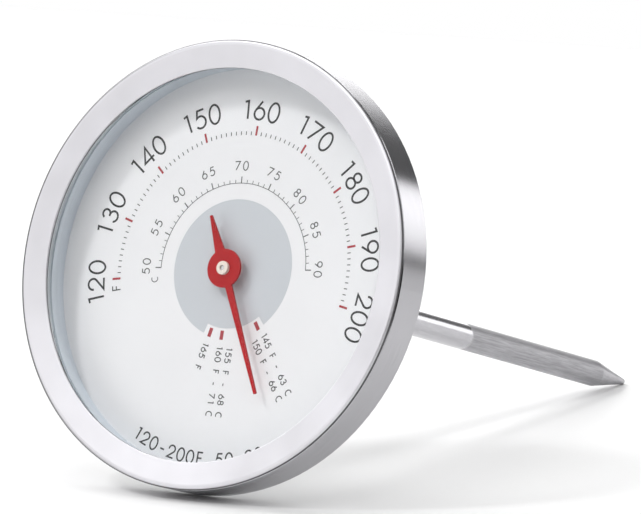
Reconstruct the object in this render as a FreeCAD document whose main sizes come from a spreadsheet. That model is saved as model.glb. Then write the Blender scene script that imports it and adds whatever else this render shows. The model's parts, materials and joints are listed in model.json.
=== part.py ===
"""Dial meat thermometer: a round steel head on a thin probe stem, lying at rest.

Every sub-part is drawn in the instrument's own frame: the origin is the very point of the
probe, +Z runs up the stem to the dial, +Y is the dial's top. One Placement, worked out in the
sheet, then leans the instrument until the rim of its case and the point of its probe both
touch the surface Z = 0, with the dial facing -Y. Lengths are in millimetres.
"""

import FreeCAD, Part
import math
import os
import Sketcher

SHEET = "Sizes"

# Driving dimensions: alias, value, what it measures.
DRIVING_SIZES = [
    ("OverallLength", 116.0, "front of the bezel to the point of the probe"),
    ("CaseRadius", 32.0, "outside of the bezel and of the case band"),
    ("PressGap", 0.02, "drawn clearance between two pieces pressed together"),
    ("OpeningRadius", 28.05, "inner edge of the bezel's face"),
    ("FaceThickness", 0.9, "front of the bezel to the seat of the lens gasket"),
    ("FaceFall", 0.5, "slope of the bezel's face towards the opening"),
    ("FaceRimRadius", 31.35, "where the bezel's face turns flat near its outer edge"),
    ("FaceRounding", 0.4, "outer edge of the bezel's face"),
    ("LipRounding", 0.1, "edge of the opening"),
    ("RimThickness", 0.45, "outer edge of the bezel, in front of the seam"),
    ("SpigotWall", 0.6, "ring behind the bezel that enters the band"),
    ("SpigotLength", 4.3, "ring behind the bezel that enters the band"),
    ("SeamGap", 0.3, "shadow gap between the bezel's face and the band"),
    ("BandWall", 0.78, "brushed band round the case"),
    ("BandEdgeRounding", 0.25, "rear edge of the band"),
    ("BandEdgeChamfer", 0.1, "front edge of the band"),
    ("GasketThickness", 0.4, "silicone between the bezel and the lens"),
    ("GasketInnerRadius", 28.4, "lip of the lens gasket"),
    ("LensRadius", 28.9, "toughened glass"),
    ("LensThickness", 1.5, "toughened glass"),
    ("LensChamfer", 0.2, "ground edges of the lens"),
    ("SpacerInnerRadius", 28.65, "bright wall seen between the lens and the dial"),
    ("SpacerOuterRadius", 30.5, "ring that holds the dial down"),
    ("SpacerStepDepth", 0.15, "step turned in the spacer's wall"),
    ("SpacerStepHeight", 0.7, "step turned in the spacer's wall"),
    ("DialDepth", 5.95, "front of the bezel to the printed face"),
    ("DialRadius", 30.4, "aluminium dial"),
    ("DialThickness", 0.3, "aluminium dial"),
    ("DialHoleRadius", 1.3, "hole for the pointer's shaft"),
    ("CoverThickness", 0.5, "pressed back cover"),
    ("CoverFlangeInnerRadius", 27.6, "where the flange turns into the dish"),
    ("DishDepth", 3.4, "rear of the band to the rear of the dish"),
    ("DishRadius", 24.8, "flat floor of the dish"),
    ("DishRounding", 1.2, "pressed corner of the dish"),
    ("BossSpigotRadius", 3.0, "threaded end of the boss, through the cover"),
    ("BossFlangeRadius", 5.4, "shoulder of the boss"),
    ("BossFlangeThickness", 1.2, "shoulder of the boss"),
    ("BossNeckRadius", 2.9, "thin end of the boss's taper"),
    ("BossRootRadius", 3.8, "thick end of the boss's taper"),
    ("BossNeckLength", 5.5, "taper behind the shoulder"),
    ("BossTop", 1.0, "top of the boss below the dial"),
    ("SealThickness", 0.5, "seal between the boss and the cover"),
    ("WasherThickness", 0.3, "plain washer under the nut"),
    ("WasherRadius", 5.0, "plain washer under the nut"),
    ("NutAcrossFlats", 8.0, "thin lock nut"),
    ("NutThickness", 1.4, "thin lock nut"),
    ("StemRadius", 1.985, "5/32 inch tube"),
    ("StemWall", 0.4, "5/32 inch tube"),
    ("SeatStep", 0.16, "turned off the tube's end where it enters the boss"),
    ("ConeLength", 9.4, "pointed end of the probe"),
    ("TipRounding", 0.45, "blunted point of the probe"),
    ("PlugLength", 3.0, "spigot of the point inside the tube"),
    ("ShaftRadius", 0.4, "rod from the coil to the pointer"),
    ("RunningGap", 0.05, "clearance between the shaft and its bearings"),
    ("ShaftTopDepth", 3.72, "front of the bezel to the end of the shaft"),
    ("BearingBodyRadius", 1.35, "upper bearing, in the boss"),
    ("BearingBodyLength", 1.2, "upper bearing, in the boss"),
    ("BearingFlangeRadius", 2.1, "upper bearing, on top of the boss"),
    ("BearingFlangeThickness", 0.3, "upper bearing, on top of the boss"),
    ("AnchorLength", 2.0, "pin that holds the foot of the coil"),
    ("AnchorRadius", 1.2, "pin that holds the foot of the coil"),
    ("CoilRadius", 1.25, "bimetal strip, outer radius"),
    ("CoilStripWidth", 1.1, "bimetal strip, along the stem"),
    ("CoilStripThickness", 0.16, "bimetal strip, across the stem"),
    ("CoilPitch", 1.6, "bimetal strip"),
    ("CoilTurns", 24.0, "bimetal strip"),
    ("CoilEndGap", 0.3, "between the coil's head and its collet"),
    ("ColletLength", 2.5, "sleeve that ties the coil to the shaft"),
    ("ColletRadius", 1.25, "sleeve that ties the coil to the shaft"),
    ("GuideGap", 2.5, "collet to lower bearing"),
    ("GuideLength", 3.0, "lower bearing, in the tube"),
    ("PointerDepth", 4.0, "front of the bezel to the front of the pointer"),
    ("PointerThickness", 0.35, "enamelled pointer"),
    ("PointerHubRadius", 2.76, "disc at the pointer's middle"),
    ("NeedleReach", 19.1, "axis to the end of the long arm"),
    ("NeedleRootWidth", 1.15, "long arm, at the axis"),
    ("NeedleEndWidth", 0.42, "long arm, at its end"),
    ("TailReach", 8.1, "axis to the end of the short arm"),
    ("TailRootWidth", 2.1, "short arm, at the axis"),
    ("TailEndWidth", 0.34, "short arm, at its end"),
    ("BushingHeadRadius", 0.98, "pale button in front of the pointer"),
    ("BushingHeadHeight", 0.5, "pale button in front of the pointer"),
    ("BushingHeadRounding", 0.15, "pale button in front of the pointer"),
    ("BushingBodyRadius", 0.8, "through the pointer"),
    ("BushingBodyLength", 0.65, "behind the pointer"),
    ("TopTemperature", 160.0, "degrees Fahrenheit at the top of the dial"),
    ("RestTemperature", 77.0, "degrees Fahrenheit shown at rest"),
    ("TurnPerDegree", 2.5, "pointer's turn in degrees per degree Fahrenheit"),
    ("RollAngle", 1.5, "turn of the whole instrument about its stem, clockwise from the front"),
]

# Sizes that follow from the driving ones. Heights are measured up the stem from the point.
DERIVED_SIZES = [
    ("FaceBack", "OverallLength - FaceThickness"),
    ("RimBack", "OverallLength - RimThickness"),
    ("FaceLip", "OverallLength - FaceFall"),
    ("BandFront", "RimBack - SeamGap"),
    ("BandInnerRadius", "CaseRadius - BandWall"),
    ("SpigotRadius", "BandInnerRadius - PressGap"),
    ("SpigotInnerRadius", "SpigotRadius - SpigotWall"),
    ("SpigotEnd", "FaceBack - SpigotLength"),
    ("LensFront", "FaceBack - GasketThickness"),
    ("LensBack", "LensFront - LensThickness"),
    ("GasketOuterRadius", "SpigotInnerRadius - PressGap"),
    ("DialFront", "OverallLength - DialDepth"),
    ("DialBack", "DialFront - DialThickness"),
    ("CaseBack", "DialBack - CoverThickness"),
    ("DishBack", "CaseBack - DishDepth"),
    ("DishFront", "DishBack + CoverThickness"),
    ("DishSlope", "atan2(DishDepth; CoverFlangeInnerRadius - DishRadius)"),
    ("DishOffset", "CoverThickness * tan(DishSlope / 2)"),
    ("BossShoulder", "DishBack - SealThickness"),
    ("BossSpigotTop", "DialBack - BossTop"),
    ("BossFlangeBack", "BossShoulder - BossFlangeThickness"),
    ("BossEnd", "BossFlangeBack - BossNeckLength"),
    ("StemTop", "BossSpigotTop - BearingBodyLength - PressGap"),
    ("StemBoreRadius", "StemRadius - StemWall"),
    ("SeatRadius", "StemRadius - SeatStep"),
    ("WasherFront", "DishFront + WasherThickness"),
    ("NutFront", "WasherFront + NutThickness"),
    ("NutCornerRadius", "NutAcrossFlats / 2 / cos(30 deg)"),
    ("PlugTop", "ConeLength + PlugLength"),
    ("AnchorTop", "PlugTop + AnchorLength"),
    ("CoilHeight", "CoilPitch * CoilTurns"),
    ("ColletBottom", "AnchorTop + CoilHeight + CoilStripWidth + CoilEndGap"),
    ("ColletTop", "ColletBottom + ColletLength"),
    ("GuideBottom", "ColletTop + GuideGap"),
    ("PointerFront", "OverallLength - PointerDepth"),
    ("PointerBack", "PointerFront - PointerThickness"),
    ("BushingFront", "PointerFront + BushingHeadHeight"),
    ("BushingBack", "PointerBack - BushingBodyLength"),
    ("ShaftTop", "OverallLength - ShaftTopDepth"),
    ("PointerAngle", "(RestTemperature - TopTemperature) * TurnPerDegree"),
    # The lean puts the rounded rear edge of the band and the rounded point on one plane.
    ("EdgeCentreRadius", "CaseRadius - BandEdgeRounding"),
    ("EdgeCentreAlong", "CaseBack + BandEdgeRounding - TipRounding"),
    ("EdgeCentreDistance", "sqrt(EdgeCentreRadius ^ 2 + EdgeCentreAlong ^ 2)"),
    ("LeanAngle", "atan2(EdgeCentreRadius; EdgeCentreAlong)"
                  " + asin((BandEdgeRounding - TipRounding) / EdgeCentreDistance)"),
    ("PointHeight", "TipRounding * (1 - sin(LeanAngle))"),
    ("FrontReach", "(CaseRadius - FaceRounding) * sin(LeanAngle)"
                   " + (OverallLength - FaceRounding) * cos(LeanAngle) + FaceRounding"),
    ("PointForward", "(FrontReach - TipRounding * (1 - cos(LeanAngle))) / 2"),
]

REST_POSE = ("create(<<placement>>; create(<<vector>>; 0; Sizes.PointForward; Sizes.PointHeight);"
             " rotationx(90 deg - Sizes.LeanAngle) * rotationz(-Sizes.RollAngle{turn}))")

# The pointer's arms are drawn along +Y, then turned clockwise to the temperature it shows.
POINTER_TURN = " - Sizes.PointerAngle"


def make_sheet(doc):
    """Fill the sheet: a note, the value, and the value's alias."""
    sheet = doc.addObject("Spreadsheet::Sheet", SHEET)
    row = 1
    for alias, value, note in DRIVING_SIZES:
        sheet.set(f"A{row}", f"{alias}: {note}")
        sheet.set(f"B{row}", str(value))
        sheet.setAlias(f"B{row}", alias)
        row += 1
    for alias, formula in DERIVED_SIZES:
        sheet.set(f"A{row}", alias)
        sheet.set(f"B{row}", f"={formula}")
        sheet.setAlias(f"B{row}", alias)
        row += 1
    doc.recompute()
    return sheet


def size(doc, formula):
    """Value of a formula over the sheet's aliases, as a plain number."""
    value = doc.getObject(SHEET).evalExpression(formula)
    return float(getattr(value, "Value", value))


def bound(formula):
    """The same formula written from outside the sheet."""
    names = sorted([name for name, *_ in DRIVING_SIZES + DERIVED_SIZES], key=len, reverse=True)
    words = formula.split(" ")
    return " ".join(f"{SHEET}.{word}" if word in names else word for word in words)


def make_body(doc, label, turn=""):
    """An empty sub-part in its resting place."""
    body = doc.addObject("PartDesign::Body", label)
    body.Label = label
    body.setExpression("Placement", REST_POSE.format(turn=turn))
    return body


def origin_plane(body, role):
    """One of the body's own origin planes."""
    return next(item for item in body.Origin.OriginFeatures if item.Role == role)


def new_sketch(body, name, plane, height=None):
    """A sketch on an origin plane, lifted up the stem when a height is given."""
    sketch = body.newObject("Sketcher::SketchObject", name)
    sketch.AttachmentSupport = (origin_plane(body, plane), [""])
    sketch.MapMode = "FlatFace"
    if height:
        sketch.setExpression("AttachmentOffset.Base.z", bound(height))
    return sketch


def bind(sketch, constraint, formula):
    """Add a constraint whose value follows the sheet."""
    index = sketch.addConstraint(constraint)
    sketch.setExpression(f"Constraints[{index}]", bound(formula))


def outline(doc, sketch, corners):
    """A closed outline of straight sides; each corner is a pair of formulas."""
    points = [FreeCAD.Vector(size(doc, across), size(doc, along), 0) for across, along in corners]
    for index, point in enumerate(points):
        following = points[(index + 1) % len(points)]
        sketch.addGeometry(Part.LineSegment(point, following), False)
    for index in range(len(points)):
        following = (index + 1) % len(points)
        sketch.addConstraint(Sketcher.Constraint("Coincident", index, 2, following, 1))
    for index, (across, along) in enumerate(corners):
        point = points[index]
        bind(sketch, Sketcher.Constraint("DistanceX", -1, 1, index, 1, point.x), across)
        bind(sketch, Sketcher.Constraint("DistanceY", -1, 1, index, 1, point.y), along)


def turned(doc, label, corners, turn=""):
    """A piece turned about the stem's axis; corners are (radius, height) formulas."""
    body = make_body(doc, label, turn)
    sketch = new_sketch(body, f"{label}_outline", "XZ_Plane")
    outline(doc, sketch, corners)
    revolve(body, sketch)
    doc.recompute()
    return body


def revolve(body, sketch):
    """Turn the sketch a full circle about its upright axis."""
    solid = body.newObject("PartDesign::Revolution", f"{body.Label}_turned")
    solid.Profile = sketch
    solid.ReferenceAxis = (sketch, ["V_Axis"])
    solid.Angle = 360.0
    sketch.Visibility = False
    return solid


def tube(doc, label, inner, outer, bottom, top, turn=""):
    """A plain ring, sleeve or disc with a hole."""
    corners = [(inner, bottom), (outer, bottom), (outer, top), (inner, top)]
    return turned(doc, label, corners, turn)


def rod(doc, label, radius, bottom, top, turn=""):
    """A plain round bar."""
    return tube(doc, label, "0", radius, bottom, top, turn)


def circles_at(doc, body, radius, height):
    """Names of the circular edges of the body's tip at a radius and height."""
    wanted_radius = size(doc, radius)
    wanted_height = size(doc, height)
    names = []
    for index, edge in enumerate(body.Tip.Shape.Edges, start=1):
        curve = edge.Curve
        if not isinstance(curve, Part.Circle):
            continue
        if abs(curve.Radius - wanted_radius) > 1e-4 or abs(curve.Center.z - wanted_height) > 1e-4:
            continue
        names.append(f"Edge{index}")
    if not names:
        raise RuntimeError(f"{body.Label}: no circle of radius {radius} at {height}")
    return names


def soften(doc, body, kind, amount, edges):
    """Fillet or chamfer the circles at the given (radius, height) places."""
    names = []
    for radius, height in edges:
        names += circles_at(doc, body, radius, height)
    base = body.Tip
    feature = body.newObject(f"PartDesign::{kind}", f"{body.Label}_{kind.lower()}_{len(body.Group)}")
    feature.Base = (base, names)
    feature.setExpression("Radius" if kind == "Fillet" else "Size", bound(amount))
    doc.recompute()


def pad(doc, body, sketch, length):
    """Thicken a flat sketch up the stem."""
    feature = body.newObject("PartDesign::Pad", f"{sketch.Name}_pad")
    feature.Profile = sketch
    feature.setExpression("Length", bound(length))
    sketch.Visibility = False
    doc.recompute()
    return feature


def pocket_through(doc, body, sketch):
    """Cut a flat sketch right through the body, and make sure that it did cut."""
    before = body.Shape.Volume
    feature = body.newObject("PartDesign::Pocket", f"{sketch.Name}_cut")
    feature.Profile = sketch
    feature.Type = "ThroughAll"
    feature.Midplane = True
    sketch.Visibility = False
    doc.recompute()
    if body.Shape.Volume >= before:
        raise RuntimeError(f"{body.Label}: {sketch.Name} cut nothing")


def circle(doc, sketch, radius):
    """A circle about the stem's axis."""
    index = sketch.addGeometry(Part.Circle(FreeCAD.Vector(0, 0, 0), FreeCAD.Vector(0, 0, 1),
                                           size(doc, radius)), False)
    sketch.addConstraint(Sketcher.Constraint("Coincident", index, 3, -1, 1))
    bind(sketch, Sketcher.Constraint("Radius", index, size(doc, radius)), radius)


# --- The head: bezel, glass, dial and case ----------------------------------------------------


def make_bezel_ring(doc):
    """Satin face, sloping gently inwards, with a ring behind it that is pressed into the band."""
    body = turned(doc, "bezel_ring", [
        ("OpeningRadius", "FaceLip"),
        ("OpeningRadius", "FaceBack"),
        ("SpigotInnerRadius", "FaceBack"),
        ("SpigotInnerRadius", "SpigotEnd"),
        ("SpigotRadius", "SpigotEnd"),
        ("SpigotRadius", "RimBack"),
        ("CaseRadius", "RimBack"),
        ("CaseRadius", "OverallLength"),
        ("FaceRimRadius", "OverallLength"),
    ])
    soften(doc, body, "Fillet", "FaceRounding", [("CaseRadius", "OverallLength")])
    soften(doc, body, "Fillet", "LipRounding", [("OpeningRadius", "FaceLip")])


def make_case_band(doc):
    """Brushed band that forms the side of the case."""
    body = tube(doc, "case_band", "BandInnerRadius", "CaseRadius", "CaseBack", "BandFront")
    soften(doc, body, "Fillet", "BandEdgeRounding", [("CaseRadius", "CaseBack")])
    soften(doc, body, "Chamfer", "BandEdgeChamfer", [("CaseRadius", "BandFront")])


def make_lens_gasket(doc):
    """Angle-section silicone ring round the edge of the glass."""
    turned(doc, "lens_gasket", [
        ("GasketInnerRadius", "FaceBack"),
        ("GasketInnerRadius", "LensFront"),
        ("LensRadius + PressGap", "LensFront"),
        ("LensRadius + PressGap", "LensBack"),
        ("GasketOuterRadius", "LensBack"),
        ("GasketOuterRadius", "FaceBack"),
    ])


def make_lens(doc):
    """Clear toughened disc."""
    body = rod(doc, "lens", "LensRadius", "LensBack", "LensFront")
    soften(doc, body, "Chamfer", "LensChamfer", [
        ("LensRadius", "LensBack"),
        ("LensRadius", "LensFront"),
    ])


def make_spacer_ring(doc):
    """Ring between the glass and the dial, with one turned step in its wall."""
    turned(doc, "spacer_ring", [
        ("SpacerInnerRadius", "LensBack"),
        ("SpacerInnerRadius", "DialFront + SpacerStepHeight"),
        ("SpacerInnerRadius + SpacerStepDepth", "DialFront + SpacerStepHeight"),
        ("SpacerInnerRadius + SpacerStepDepth", "DialFront"),
        ("SpacerOuterRadius", "DialFront"),
        ("SpacerOuterRadius", "LensBack"),
    ])


def make_dial_plate(doc):
    """Aluminium disc that carries the printed scale."""
    body = make_body(doc, "dial_plate")
    disc = new_sketch(body, "dial_disc", "XY_Plane", "DialBack")
    circle(doc, disc, "DialRadius")
    pad(doc, body, disc, "DialThickness")
    hole = new_sketch(body, "dial_hole", "XY_Plane", "DialBack")
    circle(doc, hole, "DialHoleRadius")
    pocket_through(doc, body, hole)


def make_case_seal(doc):
    """Flat silicone ring between the bezel's spigot and the back cover."""
    tube(doc, "case_seal", "SpigotInnerRadius", "SpigotRadius", "DialBack", "SpigotEnd")


def make_back_cover(doc):
    """Pressed cover: a flange under the dial, then a shallow dish with a central hole."""
    body = turned(doc, "back_cover", [
        ("SpigotRadius", "DialBack"),
        ("CoverFlangeInnerRadius - DishOffset", "DialBack"),
        ("DishRadius - DishOffset", "DishFront"),
        ("BossSpigotRadius + PressGap", "DishFront"),
        ("BossSpigotRadius + PressGap", "DishBack"),
        ("DishRadius", "DishBack"),
        ("CoverFlangeInnerRadius", "CaseBack"),
        ("SpigotRadius", "CaseBack"),
    ])
    soften(doc, body, "Fillet", "DishRounding", [("DishRadius", "DishBack")])
    soften(doc, body, "Fillet", "DishRounding / 2", [
        ("DishRadius - DishOffset", "DishFront"),
        ("CoverFlangeInnerRadius", "CaseBack"),
        ("CoverFlangeInnerRadius - DishOffset", "DialBack"),
    ])


# --- The boss that joins the stem to the head -------------------------------------------------


def make_stem_boss(doc):
    """Turned boss: threaded spigot, shoulder and taper, bored for the stem and a bearing."""
    body = turned(doc, "stem_boss", [
        ("BearingBodyRadius + PressGap", "BossSpigotTop"),
        ("BearingBodyRadius + PressGap", "StemTop"),
        ("SeatRadius + PressGap", "StemTop"),
        ("SeatRadius + PressGap", "BossEnd"),
        ("BossNeckRadius", "BossEnd"),
        ("BossRootRadius", "BossFlangeBack"),
        ("BossFlangeRadius", "BossFlangeBack"),
        ("BossFlangeRadius", "BossShoulder"),
        ("BossSpigotRadius", "BossShoulder"),
        ("BossSpigotRadius", "BossSpigotTop"),
    ])
    soften(doc, body, "Chamfer", "BossFlangeThickness / 4", [
        ("BossFlangeRadius", "BossFlangeBack"),
        ("BossSpigotRadius", "BossSpigotTop"),
    ])


def make_boss_seal(doc):
    """Silicone washer between the cover and the boss's shoulder."""
    tube(doc, "boss_seal", "BossSpigotRadius + PressGap", "BossFlangeRadius - SealThickness",
         "BossShoulder", "DishBack")


def make_boss_washer(doc):
    """Plain steel washer inside the cover."""
    tube(doc, "boss_washer", "BossSpigotRadius + PressGap", "WasherRadius", "DishFront", "WasherFront")


def make_boss_nut(doc):
    """Thin hexagon nut that clamps the boss, its thread drawn as a plain bore."""
    body = make_body(doc, "boss_nut")
    hexagon = new_sketch(body, "nut_hexagon", "XY_Plane", "WasherFront")
    sides = 6
    corners = []
    for side in range(sides):
        turn = f"{360 / sides * side:g} deg"
        corners.append((f"NutCornerRadius * cos({turn})", f"NutCornerRadius * sin({turn})"))
    outline(doc, hexagon, corners)
    pad(doc, body, hexagon, "NutThickness")
    bore = new_sketch(body, "nut_bore", "XY_Plane", "WasherFront")
    circle(doc, bore, "BossSpigotRadius + PressGap")
    pocket_through(doc, body, bore)


def make_upper_bearing(doc):
    """Flanged brass bush on top of the boss."""
    turned(doc, "upper_bearing", [
        ("ShaftRadius + RunningGap", "BossSpigotTop + BearingFlangeThickness"),
        ("ShaftRadius + RunningGap", "BossSpigotTop - BearingBodyLength"),
        ("BearingBodyRadius", "BossSpigotTop - BearingBodyLength"),
        ("BearingBodyRadius", "BossSpigotTop"),
        ("BearingFlangeRadius", "BossSpigotTop"),
        ("BearingFlangeRadius", "BossSpigotTop + BearingFlangeThickness"),
    ])


# --- The stem ---------------------------------------------------------------------------------


def make_stem_tube(doc):
    """Steel tube from the point to the boss, with a shoulder where it enters the boss."""
    turned(doc, "stem_tube", [
        ("StemBoreRadius", "ConeLength"),
        ("StemRadius", "ConeLength"),
        ("StemRadius", "BossEnd"),
        ("SeatRadius", "BossEnd"),
        ("SeatRadius", "StemTop"),
        ("StemBoreRadius", "StemTop"),
    ])


def make_probe_tip(doc):
    """Solid point: a cone that blends into a small ball, with a spigot inside the tube."""
    body = make_body(doc, "probe_tip")
    sketch = new_sketch(body, "tip_outline", "XZ_Plane")
    ball = size(doc, "TipRounding")
    stem = size(doc, "StemRadius")
    cone = size(doc, "ConeLength")
    spigot = size(doc, "StemBoreRadius - PressGap")
    top = size(doc, "PlugTop")
    # Where a line from the cone's shoulder touches the ball, to start the solver close.
    reach = math.hypot(stem, cone - ball)
    touch = math.atan2(cone - ball, stem) - math.acos(ball / reach)
    touching = FreeCAD.Vector(ball * math.cos(touch), ball + ball * math.sin(touch), 0)
    centre = Part.Circle(FreeCAD.Vector(0, ball, 0), FreeCAD.Vector(0, 0, 1), ball)
    corners = [
        touching,
        FreeCAD.Vector(stem, cone, 0),
        FreeCAD.Vector(spigot, cone, 0),
        FreeCAD.Vector(spigot, top, 0),
        FreeCAD.Vector(0, top, 0),
        FreeCAD.Vector(0, 0, 0),
    ]
    for start, end in zip(corners, corners[1:]):
        sketch.addGeometry(Part.LineSegment(start, end), False)
    arc = sketch.addGeometry(Part.ArcOfCircle(centre, -math.pi / 2, touch), False)
    for line in range(4):
        sketch.addConstraint(Sketcher.Constraint("Coincident", line, 2, line + 1, 1))
    sketch.addConstraint(Sketcher.Constraint("Coincident", 4, 2, arc, 1))
    sketch.addConstraint(Sketcher.Constraint("Coincident", 4, 2, -1, 1))
    sketch.addConstraint(Sketcher.Constraint("PointOnObject", arc, 3, -2))
    sketch.addConstraint(Sketcher.Constraint("PointOnObject", 3, 2, -2))
    sketch.addConstraint(Sketcher.Constraint("Horizontal", 1))
    sketch.addConstraint(Sketcher.Constraint("Vertical", 2))
    sketch.addConstraint(Sketcher.Constraint("Horizontal", 3))
    sketch.addConstraint(Sketcher.Constraint("Tangent", arc, 2, 0, 1))
    bind(sketch, Sketcher.Constraint("Radius", arc, ball), "TipRounding")
    bind(sketch, Sketcher.Constraint("DistanceX", -1, 1, 1, 1, stem), "StemRadius")
    bind(sketch, Sketcher.Constraint("DistanceY", -1, 1, 1, 1, cone), "ConeLength")
    bind(sketch, Sketcher.Constraint("DistanceX", -1, 1, 2, 1, spigot), "StemBoreRadius - PressGap")
    bind(sketch, Sketcher.Constraint("DistanceY", -1, 1, 3, 1, top), "PlugTop")
    revolve(body, sketch)
    doc.recompute()


def make_coil_anchor(doc):
    """Pin on the plug that the coil's foot is welded to."""
    rod(doc, "coil_anchor", "AnchorRadius", "PlugTop", "AnchorTop")


def make_bimetal_coil(doc):
    """Helix of flat bimetal strip that turns the shaft as it warms."""
    body = make_body(doc, "bimetal_coil")
    sketch = new_sketch(body, "strip_section", "XZ_Plane")
    outline(doc, sketch, [
        ("CoilRadius - CoilStripThickness", "AnchorTop"),
        ("CoilRadius", "AnchorTop"),
        ("CoilRadius", "AnchorTop + CoilStripWidth"),
        ("CoilRadius - CoilStripThickness", "AnchorTop + CoilStripWidth"),
    ])
    doc.recompute()
    helix = body.newObject("PartDesign::AdditiveHelix", "coil_helix")
    helix.Profile = sketch
    helix.ReferenceAxis = (sketch, ["V_Axis"])
    helix.Mode = "pitch-turns-angle"
    helix.setExpression("Pitch", bound("CoilPitch"))
    helix.setExpression("Turns", bound("CoilTurns"))
    sketch.Visibility = False
    doc.recompute()


def make_lower_bearing(doc):
    """Bush in the tube that steadies the shaft above the coil."""
    tube(doc, "lower_bearing", "ShaftRadius + RunningGap", "StemBoreRadius - PressGap",
         "GuideBottom", "GuideBottom + GuideLength")


# --- The pointer and what turns with it -------------------------------------------------------


def make_shaft(doc):
    """Thin steel rod from the coil to the pointer."""
    rod(doc, "shaft", "ShaftRadius", "ColletBottom", "ShaftTop", POINTER_TURN)


def make_coil_collet(doc):
    """Sleeve crimped on the foot of the shaft, where the coil's head is welded."""
    tube(doc, "coil_collet", "ShaftRadius + PressGap / 2", "ColletRadius", "ColletBottom",
         "ColletTop", POINTER_TURN)


def arm(doc, body, name, root_width, end_width, reach):
    """One tapered arm of the pointer; a negative reach points it down the dial."""
    sketch = new_sketch(body, name, "XY_Plane", "PointerBack")
    outline(doc, sketch, [
        (f"0 - {root_width} / 2", "0"),
        (f"0 - {end_width} / 2", reach),
        (f"{end_width} / 2", reach),
        (f"{root_width} / 2", "0"),
    ])
    pad(doc, body, sketch, "PointerThickness")


def make_pointer(doc):
    """Stamped pointer: a disc, a long arm that shows degrees and a short one opposite."""
    body = make_body(doc, "pointer", POINTER_TURN)
    disc = new_sketch(body, "pointer_disc", "XY_Plane", "PointerBack")
    circle(doc, disc, "PointerHubRadius")
    pad(doc, body, disc, "PointerThickness")
    arm(doc, body, "pointer_needle", "NeedleRootWidth", "NeedleEndWidth", "NeedleReach")
    arm(doc, body, "pointer_tail", "TailRootWidth", "TailEndWidth", "0 - TailReach")
    hole = new_sketch(body, "pointer_hole", "XY_Plane", "PointerBack")
    circle(doc, hole, "BushingBodyRadius + PressGap / 2")
    pocket_through(doc, body, hole)


def make_pointer_bushing(doc):
    """Headed bush that carries the pointer on the shaft; the shaft's end shows in it."""
    body = turned(doc, "pointer_bushing", [
        ("ShaftRadius + PressGap / 2", "BushingFront"),
        ("ShaftRadius + PressGap / 2", "BushingBack"),
        ("BushingBodyRadius", "BushingBack"),
        ("BushingBodyRadius", "PointerFront"),
        ("BushingHeadRadius", "PointerFront"),
        ("BushingHeadRadius", "BushingFront"),
    ], POINTER_TURN)
    soften(doc, body, "Fillet", "BushingHeadRounding", [("BushingHeadRadius", "BushingFront")])


PIECES = [
    make_bezel_ring,
    make_lens_gasket,
    make_lens,
    make_spacer_ring,
    make_dial_plate,
    make_case_seal,
    make_case_band,
    make_back_cover,
    make_stem_boss,
    make_boss_seal,
    make_boss_washer,
    make_boss_nut,
    make_upper_bearing,
    make_stem_tube,
    make_probe_tip,
    make_coil_anchor,
    make_bimetal_coil,
    make_lower_bearing,
    make_shaft,
    make_coil_collet,
    make_pointer,
    make_pointer_bushing,
]


def check(doc, bodies):
    """Stop before anything is written if an object failed or a sub-part is not one solid."""
    for item in doc.Objects:
        if "Invalid" in item.State or "Error" in item.State:
            raise RuntimeError(f"{item.Label} failed: {item.State}")
    for body in bodies:
        shape = body.Shape
        if shape.isNull() or not shape.isValid():
            raise RuntimeError(f"{body.Label}: the shape is null or not valid")
        if len(shape.Solids) != 1:
            raise RuntimeError(f"{body.Label}: {len(shape.Solids)} solids")


def main():
    doc = FreeCAD.newDocument("meat_thermometer")
    make_sheet(doc)
    for make_piece in PIECES:
        make_piece(doc)
    doc.recompute()
    bodies = [item for item in doc.Objects if item.TypeId == "PartDesign::Body"]
    check(doc, bodies)
    os.makedirs("parts", exist_ok=True)
    for body in bodies:
        body.Shape.exportStep(f"parts/{body.Label}.step")
        print(f"{body.Label}: {body.Shape.Volume:.2f} mm3")
    print(f"lean {size(doc, 'LeanAngle'):.3f} degrees")


main()
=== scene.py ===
"""Looks of the dial meat thermometer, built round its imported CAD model.

The metal, glass, rubber and enamelled pieces keep their CAD shapes and get procedural materials.
The dial's printing is added as thin layers of ink, and rim_skin covers the bezel's rounded outer
edge with a finer mesh. Sizes are in millimetres until they reach Blender, which works in metres;
the lamps and the floor are given in metres.
"""

import json
import math

import bmesh
import bpy
from mathutils import Matrix, Vector


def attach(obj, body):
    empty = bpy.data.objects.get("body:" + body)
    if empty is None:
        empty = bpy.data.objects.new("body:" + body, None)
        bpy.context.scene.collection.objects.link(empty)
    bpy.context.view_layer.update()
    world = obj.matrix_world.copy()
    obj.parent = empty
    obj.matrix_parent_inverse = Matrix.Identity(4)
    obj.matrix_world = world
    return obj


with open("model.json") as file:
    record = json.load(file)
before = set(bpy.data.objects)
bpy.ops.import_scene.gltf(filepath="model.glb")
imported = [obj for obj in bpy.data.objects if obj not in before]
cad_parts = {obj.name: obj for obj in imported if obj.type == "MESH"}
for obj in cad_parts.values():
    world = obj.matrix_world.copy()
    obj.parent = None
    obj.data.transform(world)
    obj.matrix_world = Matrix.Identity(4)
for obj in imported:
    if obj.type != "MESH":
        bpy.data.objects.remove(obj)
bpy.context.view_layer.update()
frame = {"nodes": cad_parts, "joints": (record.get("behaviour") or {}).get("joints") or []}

MM = 0.001

# --- The instrument's own frame: +Z up the stem and out of the dial, +Y the dial's top ----------

# The pointer's hinge gives the stem's direction. ROLL turns the dial's top a little clockwise.
JOINT = frame["joints"][0]
STEM = -Vector(JOINT["axis"])
PIVOT = Vector(JOINT["pos_m"])
LEAN = math.asin(STEM.z)
ROLL = math.radians(1.5)
TURN = Matrix.Rotation(math.pi / 2 - LEAN, 4, "X") @ Matrix.Rotation(-ROLL, 4, "Z")
INSTRUMENT = Matrix.Translation(PIVOT) @ TURN @ Matrix.Scale(MM, 4)


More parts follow.
